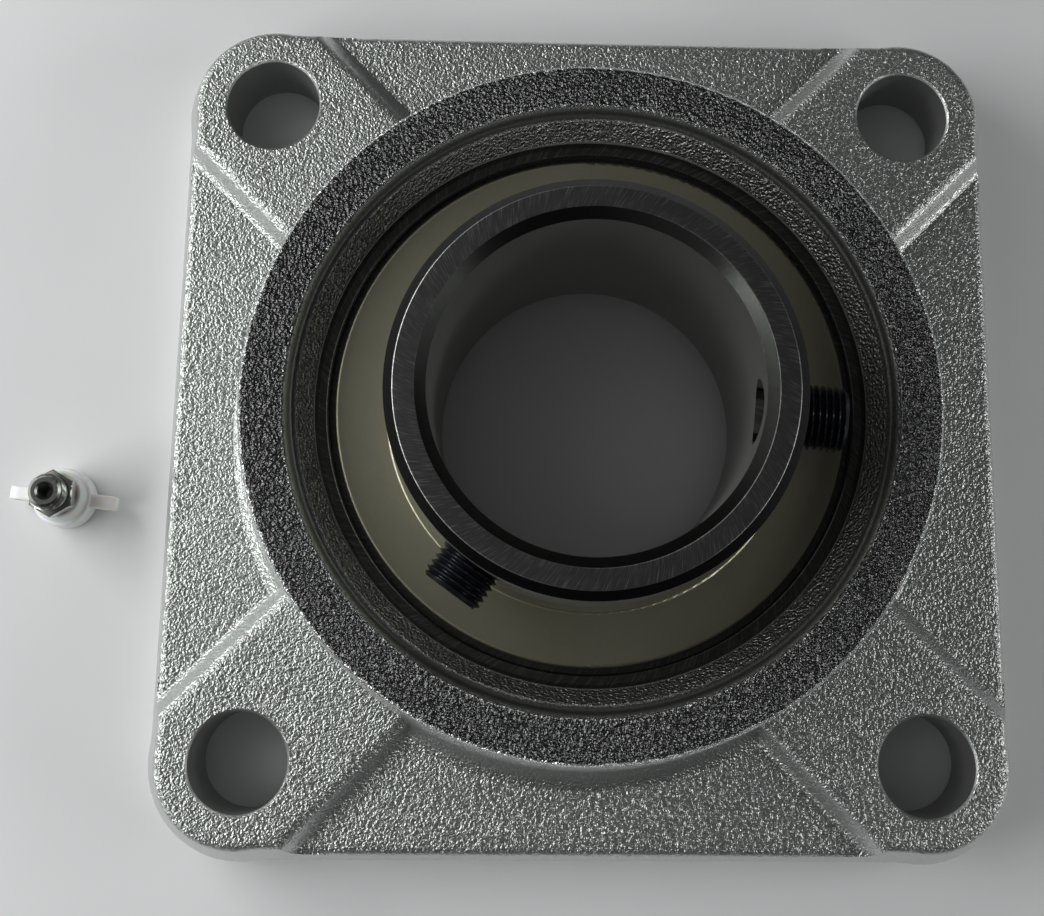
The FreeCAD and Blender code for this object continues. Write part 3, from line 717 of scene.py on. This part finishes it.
def hexagon_radius(turn, flats):
    """Distance to a hexagon's side: half the flats over the cosine of the angle off that side."""
    off_side = np.mod(turn - np.pi / 2, np.pi / 3) - np.pi / 6
    return flats / 2 / np.cos(off_side)


turn = np.linspace(0, 2 * np.pi, 96, endpoint=False)
socket_flats = 5.0
socket_span = hexagon_radius(turn, socket_flats)
print("the socket reaches from", round(socket_span.min(), 2), "to", round(socket_span.max(), 2), "mm")

# %% [markdown]
# ## Black oxide
#
# The screws are blackened: a thin oxide that stays deep blue-black, shines faintly with oil and
# wears towards bare steel on the crests. The wear follows a number stored on the mesh, how near
# each point lies to a crest, because a place in space can't tell a crest from a root.

# %% Black oxide
worn_oxide, wear_share, scuff_scale = (0.16, 0.17, 0.20), 0.25, 1.6
black_oxide, tree, shader = speckled("black_oxide", ((0.006, 0.007, 0.011), (0.016, 0.017, 0.023)),
                                     metallic=0.6, roughness=(0.24, 0.40), scale=2.0, depth=0.006)
crest_wear = tree.nodes.new("ShaderNodeAttribute")
crest_wear.attribute_name = "crest"
scuffs = step_up(tree, mottle(tree, place_in_mm(tree), scuff_scale), 0.45, 0.62)
worn = calc(tree, "MULTIPLY", all_of(tree, crest_wear.outputs["Fac"], scuffs), wear_share)
oxide_colour = shader.inputs["Base Color"].links[0].from_socket
tree.links.new(blend(tree, worn, oxide_colour, worn_oxide), shader.inputs["Base Color"])
print("black oxide:", len(tree.nodes), "nodes")

# %% [markdown]
# ## Set screws
#
# Two headless M10x1 screws of 10 mm clamp the shaft. From the outer end each screw is a hexagon
# socket, a chamfer, the thread, a chamfer and a hollow cup point. The thread is real geometry: its
# profile shows against the flinger. A chamfer is a cone that cuts the thread off, so each ring
# takes whichever radius is smaller.

# %% Threaded set screws
screw_crest, screw_pitch = 4.95, 1.0
screw_length = 10.0
screw_chamfer = 0.7
socket_depth, socket_bevel, drill_point = 4.0, 0.35, 0.8
cup_radius, cup_depth = 2.6, 1.3
thread_rings, crest_band = 101, 0.12


def store(piece, label, values, poles):
    """Stores one number per point of the grid on the mesh; the poles get zero."""
    attribute = piece.data.attributes.new(label, "FLOAT", "POINT")
    attribute.data.foreach_set("value", np.append(values.ravel(), np.zeros(poles)).astype(np.float32))


def set_screw(node, body):
    """Rings from the socket's floor out to its mouth, over the thread and in to the cup point."""
    centre = middle_of(node)
    outwards = np.array((centre[0], centre[1], 0.0)) / math.hypot(centre[0], centre[1])
    sideways = np.array((-outwards[1], outwards[0], 0.0))
    upwards = np.array((0.0, 0.0, 1.0))
    levels = np.linspace(0, screw_length, thread_rings)
    cone = screw_crest - screw_chamfer + np.minimum(levels, screw_length - levels)
    wound = thread_radius(turn[None, :], levels[:, None], screw_crest, screw_pitch)
    flank = np.minimum(wound, cone[:, None])
    socket = hexagon_radius(turn, socket_flats)
    mouth = np.full_like(turn, socket_flats / math.sqrt(3) + 0.1)
    radius = np.vstack((socket, socket, mouth, flank, np.full_like(turn, cup_radius)))
    along = np.concatenate(([socket_depth, socket_bevel, 0.0], levels, [screw_length]))[:, None]
    first = centre + outwards * screw_length / 2
    rings = (first - outwards * along[..., None]
             + upwards * (radius * np.cos(turn))[..., None]
             + sideways * (radius * np.sin(turn))[..., None])
    poles = [first - outwards * (socket_depth + drill_point),
             first - outwards * (screw_length - cup_depth)]
    screw = turned_piece("threaded_" + node, rings, poles, black_oxide, node, body)
    crest = np.clip((radius - screw_crest + crest_band) / crest_band, 0.0, 1.0)
    store(screw, "crest", crest, len(poles))


set_screw("set_screw_right", "right_screw")
set_screw("set_screw_left", "left_screw")

# %% [markdown]
# ## Zinc plating
#
# The nipple is plated bright. Zinc mirrors the room in a slightly yellow grey, with a gloss that
# varies from place to place.

# %% Zinc plating
zinc = speckled("zinc_plating", ((0.50, 0.51, 0.47), (0.64, 0.65, 0.61)),
                metallic=1.0, roughness=(0.14, 0.26), scale=2.5, depth=0.006)[0]
print("zinc plating:", len(zinc.node_tree.nodes), "nodes")

# %% [markdown]
# ## Grease nipple
#
# The M6x0.75 nipple stands on its head in the cap, thread up. It is turned from bar: a ball head for
# the grease gun, a neck, a 7 mm hexagon whose corners are bevelled in the lathe, a relief groove
# and the thread, with a bore from end to end that narrows to the mouth. Bright plating brings out
# each edge, so the bevels are rings of their own. Plain parts of the profile are written as pairs
# of a radius and a height.

# %% Nipple body
nipple_crest, nipple_pitch = 2.95, 0.75
nipple_flats = 7.0
nipple_bevel = 0.54
hexagon_height, thread_length = 3.0, 3.5
catch_height, catch_length = 6.0, 0.5
bore_radius, catch_radius, mouth_bore = 1.25, 0.95, 0.75
bevel_rings, nipple_thread_rings = 6, 61


def nipple_body():
    """Rings up the outside from the head to the thread's end, then down the bore to the mouth."""
    centre = middle_of("nipple_body")
    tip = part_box("nipple_body")[0][2] / MM
    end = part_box("nipple_body")[1][2] / MM
    shoulder = end - thread_length
    foot = shoulder - hexagon_height
    head = [(1.9, tip), (3.05, tip + 1.65), (3.2, tip + 1.95), (3.05, tip + 2.25), (2.6, tip + 3.1),
            (2.45, tip + 3.6), (2.45, foot - nipple_bevel), (2.9, foot)]
    catch = tip + catch_height
    bore = [(1.95, end), (1.55, end), (bore_radius, end - 0.3), (bore_radius, catch + catch_length),
            (catch_radius, catch + catch_length), (catch_radius, catch), (bore_radius, catch),
            (bore_radius, tip + 1.3), (mouth_bore, tip + 0.8), (mouth_bore, tip)]
    upper_bevel = hexagon_height - nipple_bevel
    hexagon_levels = np.concatenate((np.linspace(0, nipple_bevel, bevel_rings),
                                     np.linspace(upper_bevel, hexagon_height, bevel_rings)))
    widest = nipple_flats / math.sqrt(3)
    near_end = np.minimum(hexagon_levels, hexagon_height - hexagon_levels)
    bevel = widest - 2 * nipple_bevel + 2 * np.minimum(near_end, nipple_bevel)
    hexagon = np.minimum(hexagon_radius(turn, nipple_flats)[None, :], bevel[:, None])
    thread_levels = np.linspace(0, thread_length, nipple_thread_rings)
    wound = thread_radius(turn[None, :], thread_levels[:, None], nipple_crest, nipple_pitch)
    relief = nipple_crest - 0.5 + np.clip(thread_levels - 0.5, 0.0, None)
    chamfer = nipple_crest - 0.7 + thread_length - thread_levels
    thread = np.minimum(wound, np.minimum(relief, chamfer)[:, None])
    plain = np.ones_like(turn)
    radius = np.vstack([r * plain for r, z in head] + [hexagon, thread] + [r * plain for r, z in bore])
    height = np.concatenate(([z for r, z in head], foot + hexagon_levels, shoulder + thread_levels,
                             [z for r, z in bore]))[:, None] * plain
    rings = np.stack((centre[0] + radius * np.cos(turn), centre[1] + radius * np.sin(turn), height), axis=-1)
    turned_piece("grease_nipple", rings, [], zinc, "nipple_body", "nipple")


nipple_body()

# %% [markdown]
# ## Coil spring
#
# The spring is shut in behind the check ball, and it gets shorter as the ball is pushed in. Here it
# is a wire wound into four turns that fills the box of its CAD node, with a mesh of its own.

# %% Coil spring
wire_radius, spring_turns, rings_per_turn = 0.14, 4, 36


def coil_spring():
    """Rings of the wire, each at its place on a helix: round the axis and up in step."""
    lowest, highest = (np.array(corner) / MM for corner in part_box("nipple_spring"))
    wound = np.linspace(0, 2 * np.pi * spring_turns, rings_per_turn * spring_turns + 1)
    rise = np.linspace(lowest[2] + wire_radius, highest[2] - wire_radius, wound.size)
    outwards = np.stack((np.cos(wound), np.sin(wound), np.zeros_like(wound)), axis=-1)
    upwards = np.array((0.0, 0.0, 1.0))
    coil_radius = (highest[0] - lowest[0]) / 2 - wire_radius
    middle = (lowest + highest) / 2 * (1, 1, 0)
    path = middle + coil_radius * outwards + rise[:, None] * upwards
    section = turn[::8]
    rings = (path[:, None] + wire_radius * (outwards[:, None] * np.cos(section)[:, None]
                                            + upwards * np.sin(section)[:, None]))
    spring = turned_piece("coil_spring", rings, [path[0], path[-1]], ball_steel, "nipple_spring",
                          "nipple")
    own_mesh(spring)


coil_spring()

# %% [markdown]
# ## Milky plastic
#
# The cap is moulded in milky polyethylene. Light soaks into it, so its shadows are soft and pale.

# %% Milky plastic
cap_plastic, tree, shader = speckled("milky_cap", ((0.92, 0.93, 0.915), (0.95, 0.96, 0.945)),
                                     metallic=0.0, roughness=(0.30, 0.40), scale=0.7, depth=0.01)
shader.inputs["Subsurface Weight"].default_value = 0.5
shader.inputs["Subsurface Scale"].default_value = 0.0015
print("milky plastic:", len(tree.nodes), "nodes")

# %% [markdown]
# ## Winged cap
#
# The cap is a cup with a narrower neck and two thin wings to pull it off by. The wings grow out of
# the cup with small hollows, which a smooth maximum of the cup's radius and the wing's outline
# gives. The directions are set closer together near the wings, where the outline changes fastest.

# %% Outline of the cap
cap_radius, neck_radius, cap_bore = 5.0, 4.2, 3.4
cap_shoulder, cap_floor = 5.0, 1.0
cap_top = float(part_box("nipple_cap")[1][2]) / MM
wing_reach, wing_half, wing_low, wing_high = 9.05, 1.15, 1.45, 4.55
wing_turn = math.radians(-5.75)
top_corner, foot_corner = 0.55, 0.4
lip_bevel, neck_hollow, wing_hollow, tip_hollow = 0.2, 0.25, 0.5, 0.45
directions, bunching, wing_blend, smallest = 240, 0.42, 0.3, 1e-6


def smooth_maximum(one, other, hollow):
    """The larger of two lengths, plus hollow times mix times (1 minus mix) where they cross."""
    mix = np.clip(0.5 + 0.5 * (one - other) / hollow, 0.0, 1.0)
    return other + (one - other) * mix + hollow * mix * (1 - mix)


def wing_outline(around):
    """Distance to a bar with rounded tips: the nearer of half width over sine and reach over cosine."""
    side = wing_half / np.maximum(np.abs(np.sin(around)), smallest)
    end = wing_reach / np.maximum(np.abs(np.cos(around)), smallest)
    return -smooth_maximum(-side, -end, tip_hollow)


def corner_inset(depth, corner):
    """How far a round corner draws the wall in: corner minus the root of (corner squared minus
    depth squared)."""
    into = np.clip(depth, 0, None)
    return corner - np.sqrt(np.clip(corner ** 2 - into ** 2, 0, None))


print("cap:", cap_radius, "mm in radius, wings to", wing_reach, "mm, top at", round(cap_top, 2), "mm")

# %% [markdown]
# ## Rings of the cap
#
# The rings start at the cup's floor, climb the bore, go over the lip and down the outside. Only
# rings at the height of the wings take the wing's outline.

# %% Cap with wings
def winged_cap():
    """Rings from the cup's floor up the bore, over the neck and shoulder, and down over the wings."""
    centre = middle_of("nipple_body")
    steps = np.linspace(0, 2 * np.pi, directions, endpoint=False)
    around = steps - bunching * np.sin(2 * steps)
    plain = np.ones_like(around)
    inner = [(cap_bore, cap_floor), (cap_bore, cap_top - lip_bevel), (cap_bore + lip_bevel, cap_top),
             (neck_radius - lip_bevel, cap_top), (neck_radius, cap_top - lip_bevel),
             (neck_radius, cap_shoulder + neck_hollow), (neck_radius + neck_hollow, cap_shoulder)]
    levels = np.array([5.0, 4.93, 4.75, 4.55, 4.45, 4.3, 4.1, 3.0, 1.9, 1.75, 1.6, 1.45, 0.9, 0.4,
                       0.15, 0.03, 0.0])
    inset = (corner_inset(levels - cap_shoulder + top_corner, top_corner)
             + corner_inset(foot_corner - levels, foot_corner))
    cup = (cap_radius - inset)[:, None] * plain
    below_top_edge = np.clip((wing_high - levels) / wing_blend, 0, 1)
    above_low_edge = np.clip((levels - wing_low) / wing_blend, 0, 1)
    shown = below_top_edge * above_low_edge
    wing = cup + (wing_outline(around)[None, :] - cup) * np.sqrt(shown)[:, None]
    outside = np.where(shown[:, None] > 0, smooth_maximum(wing, cup, wing_hollow), cup)
    outside = np.minimum(outside, wing_reach)
    radius = np.vstack([r * plain for r, z in inner] + [outside])
    height = np.concatenate(([z for r, z in inner], levels))[:, None] * plain
    rings = np.stack((centre[0] + radius * np.cos(around + wing_turn),
                      centre[1] + radius * np.sin(around + wing_turn), height), axis=-1)
    poles = [(centre[0], centre[1], cap_floor), (centre[0], centre[1], 0.0)]
    turned_piece("winged_cap", rings, poles, cap_plastic, "nipple_cap", "cap",
                 sharp_above=50.0)


winged_cap()

# %% [markdown]
# ## Floor
#
# The bearing lies on a pale table. The table ends a hand's width outside the picture, and what the
# low chamfers mirror there is dark, so the finish turns dark with distance from the origin.

# %% Floor
table_reach, table_level = 1.5, -0.0001
pale_tones, dark_tone = ((0.72, 0.73, 0.735), (0.78, 0.79, 0.795)), (0.06, 0.062, 0.066)
dark_from, dark_past = 170.0, 260.0
table_corners = [(x * table_reach, y * table_reach, table_level)
                 for x, y in ((-1, -1), (1, -1), (1, 1), (-1, 1))]
floor_mesh = bpy.data.meshes.new("table_top")
floor_mesh.from_pydata(table_corners, [], [(0, 1, 2, 3)])
floor = bpy.data.objects.new("table_top", floor_mesh)
bpy.context.scene.collection.objects.link(floor)
table_finish, tree, shader = new_material("pale_table")
place = place_in_mm(tree)
x, y = apart(tree, place)[:2]
pale = blend(tree, mottle(tree, place, 0.02), *pale_tones)
far = step_up(tree, distance_from(tree, x, y, 0.0, 0.0), dark_from, dark_past)
tree.links.new(blend(tree, far, pale, dark_tone), shader.inputs["Base Color"])
shader.inputs["Roughness"].default_value = 0.6
floor_mesh.materials.append(table_finish)
print("table:", 2 * table_reach, "m wide")

# %% [markdown]
# ## Windows
#
# The table is bright on the left, half as bright in the middle and a third on the right. Light
# that falls off so fast comes from near by: a wide low window on the left, and a smaller, weaker
# one on the right that draws the right edges of the casting.

# %% Lamps
def window(name, place, width, height, power):
    """An oblong lamp that faces the bearing."""
    light = bpy.data.lights.new(name, "AREA")
    light.shape = "RECTANGLE"
    light.size = width
    light.size_y = height
    light.energy = power
    lamp = bpy.data.objects.new(name, light)
    lamp.location = place
    towards_bearing = Vector((0, 0, 0.01)) - Vector(place)
    lamp.rotation_euler = towards_bearing.to_track_quat("-Z", "Y").to_euler()
    bpy.context.scene.collection.objects.link(lamp)


window("left_window", (-0.38, 0.04, 0.27), width=0.60, height=0.15, power=1.80)
window("right_window", (0.50, -0.10, 0.28), width=0.38, height=0.10, power=0.95)
print("lamps:", [lamp.name for lamp in bpy.data.lights])

# %% [markdown]
# ## Room
#
# Metal shows the room plainly. The ceiling is dark and so is the line of the horizon; between them
# the wall on the left glows. Whoever holds the camera stands on the near side and darkens it.
# Level faces mirror the ceiling, and only facets that lean to a window flash.

# %% Room
wall_glow_right, wall_glow_left = 0.09, 0.75
ceiling_glow_right, ceiling_glow_left = 0.01, 0.13
near_side_share, least_glow = 0.35, 0.011
left_marks, near_marks = (0.15, -0.75), (-0.7, 0.1)
wall_foot_marks, wall_top_marks, ceiling_marks = (0.16, 0.42), (0.93, 0.55), (0.45, 0.8)
world = bpy.data.worlds.new("room")
world.use_nodes = True
tree = world.node_tree
sky = tree.nodes["Background"]
dx, dy, dz = apart(tree, tree.nodes.new("ShaderNodeTexCoord").outputs["Generated"])
leftward = step_up(tree, dx, *left_marks)
wall_band = all_of(tree, step_up(tree, dz, *wall_foot_marks), step_up(tree, dz, *wall_top_marks))
far_side = between(tree, step_up(tree, dy, *near_marks), near_side_share, 1.0)
wall_strength = between(tree, leftward, wall_glow_right, wall_glow_left)
wall_glow = all_of(tree, wall_band, wall_strength, far_side)
ceiling_strength = between(tree, leftward, ceiling_glow_right, ceiling_glow_left)
ceiling_glow = all_of(tree, step_up(tree, dz, *ceiling_marks), ceiling_strength)
glow = calc(tree, "ADD", calc(tree, "ADD", wall_glow, ceiling_glow), least_glow)
tree.links.new(together(tree, glow, glow, glow), sky.inputs["Color"])
sky.inputs["Strength"].default_value = 1.0
bpy.context.scene.world = world
bpy.context.scene.view_settings.view_transform = "Standard"
print("room:", len(tree.nodes), "nodes")
